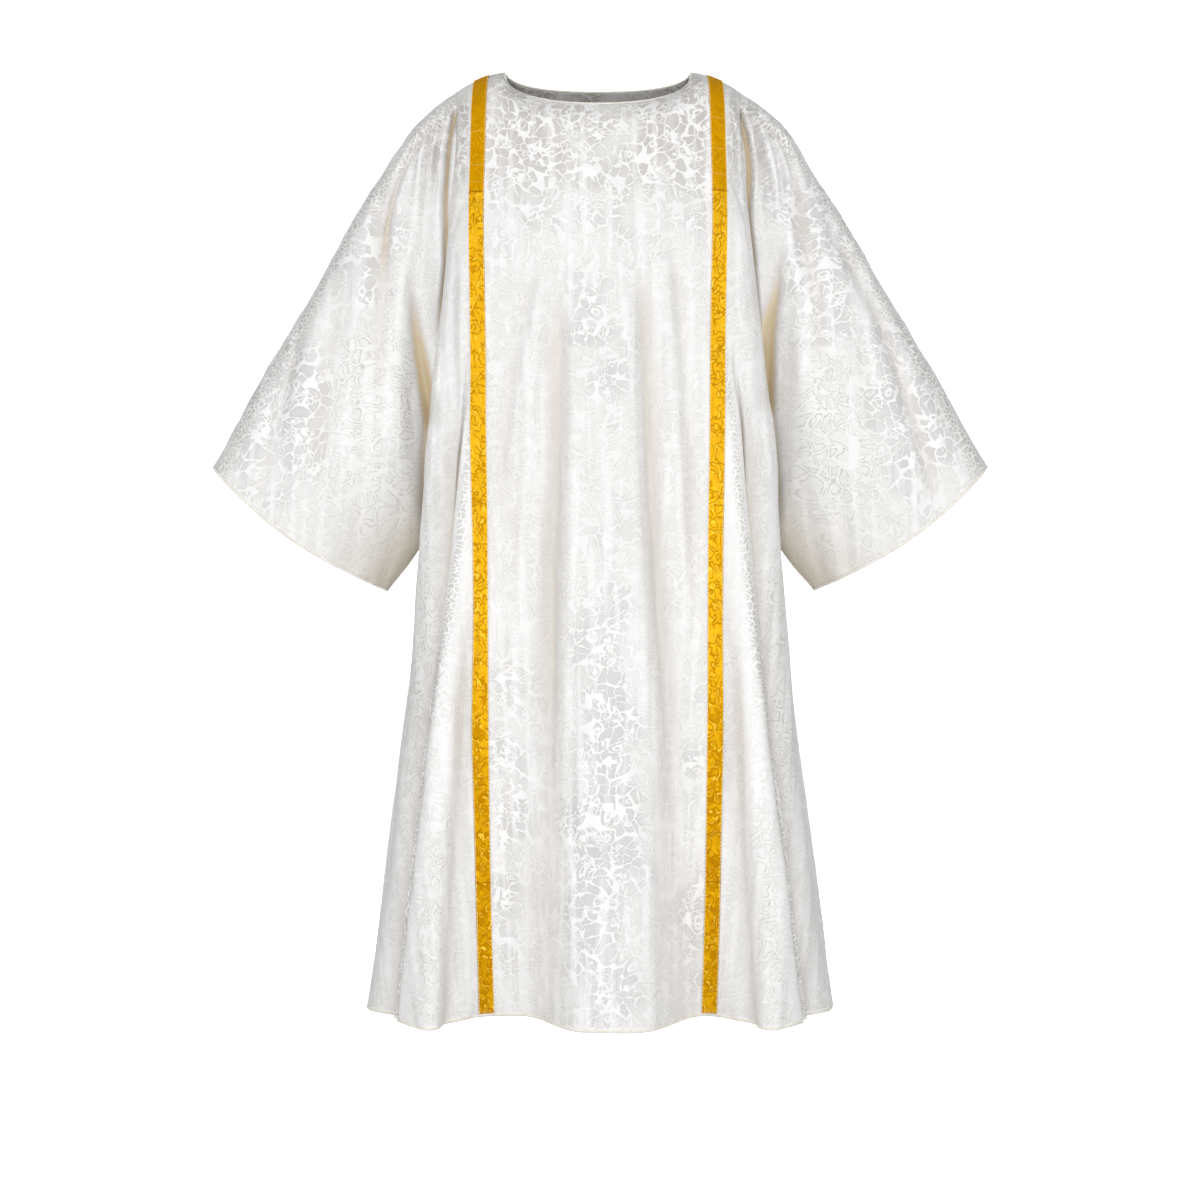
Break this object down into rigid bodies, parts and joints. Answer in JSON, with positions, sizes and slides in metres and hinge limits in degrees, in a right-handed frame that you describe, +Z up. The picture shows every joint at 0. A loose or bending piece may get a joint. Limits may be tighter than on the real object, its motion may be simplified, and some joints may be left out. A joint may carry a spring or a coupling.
{
  "type": "dalmatic",
  "caption": "Ivory damask dalmatic with gold bands, wide sleeves and a round neck, hollow as it hangs on its wearer.",
  "frame": {"origin": "middle of the neck opening, level with the tops of the shoulders, where the garment rests on its wearer", "axes": "+Z up, towards the wearer's head; -Y to the front; +X to the wearer's left"},
  "size_m": [1.0082, 0.4383, 1.2177],
  "materials": {
    "damask": "ivory figured damask, matt cells between satin veins",
    "gold_band": "golden yellow self-coloured woven band",
    "edge_satin": "cream satin rolled edge"
  },
  "bodies": {
    "root": {"front_panel": "damask", "back_panel": "damask", "sleeve_left": "damask", "sleeve_right": "damask", "orphrey_front_left": "gold_band", "orphrey_front_right": "gold_band", "orphrey_back_left": "gold_band", "orphrey_back_right": "gold_band", "neck_binding": "edge_satin", "hem_binding_front": "edge_satin", "hem_binding_back": "edge_satin", "cuff_binding_left": "edge_satin", "cuff_binding_right": "edge_satin"}
  },
  "joints": []
}
